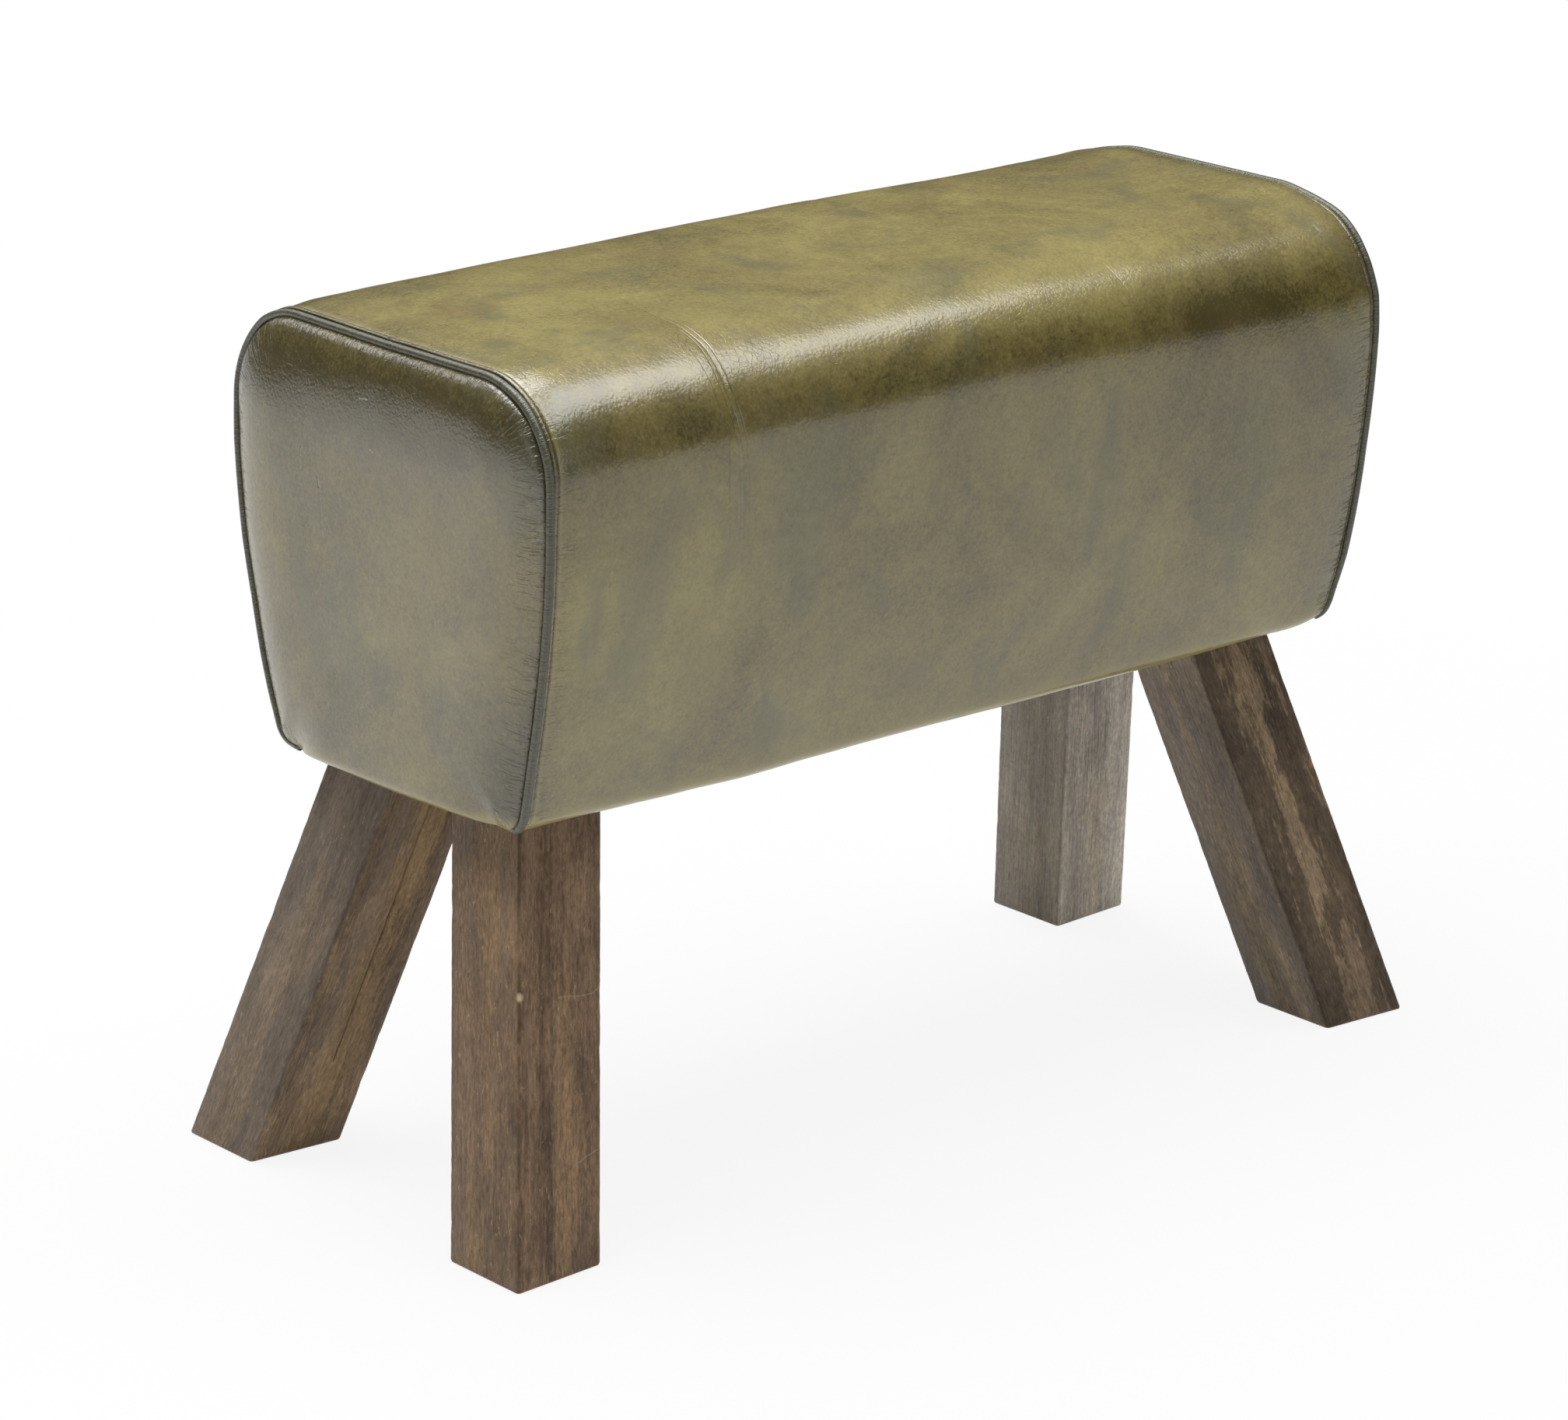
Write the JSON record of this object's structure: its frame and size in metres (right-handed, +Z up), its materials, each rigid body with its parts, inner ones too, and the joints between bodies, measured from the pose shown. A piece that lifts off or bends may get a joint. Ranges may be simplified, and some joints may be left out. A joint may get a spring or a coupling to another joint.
{
  "type": "pommel horse",
  "caption": "Leather-covered vaulting-horse bench: padded body with piped, crowned ends on splayed square timber legs, used as a low seat",
  "frame": {"origin": "on the floor, midway between the four feet", "axes": "+X along the body, +Y across it towards its back side, +Z up"},
  "size_m": [0.81, 0.3652, 0.595],
  "materials": {
    "hide": "satin",
    "panel_hide": "satin",
    "piping": "satin",
    "leg_timber": "satin",
    "foam": "matte",
    "plywood": "matte",
    "block_timber": "matte",
    "steel": "satin",
    "dust_cloth": "matte"
  },
  "bodies": {
    "root": {"base_board": "plywood", "centre_bulkhead": "plywood", "dust_cover": "dust_cloth", "end_board_left": "plywood", "end_board_right": "plywood", "end_foam_left": "foam", "end_foam_right": "foam", "end_panel_left": "panel_hide", "end_panel_right": "panel_hide", "leather_wrap": "hide", "leg_back_left": "leg_timber", "leg_back_right": "leg_timber", "leg_block_back_left": "block_timber", "leg_block_back_right": "block_timber", "leg_block_front_left": "block_timber", "leg_block_front_right": "block_timber", "leg_front_left": "leg_timber", "leg_front_right": "leg_timber", "leg_screws": "steel", "leg_washers": "steel", "piping_left": "piping", "piping_right": "piping", "side_board_back": "plywood", "side_board_front": "plywood", "side_foam_back": "foam", "side_foam_front": "foam", "top_board": "plywood", "top_foam": "foam"}
  },
  "joints": []
}
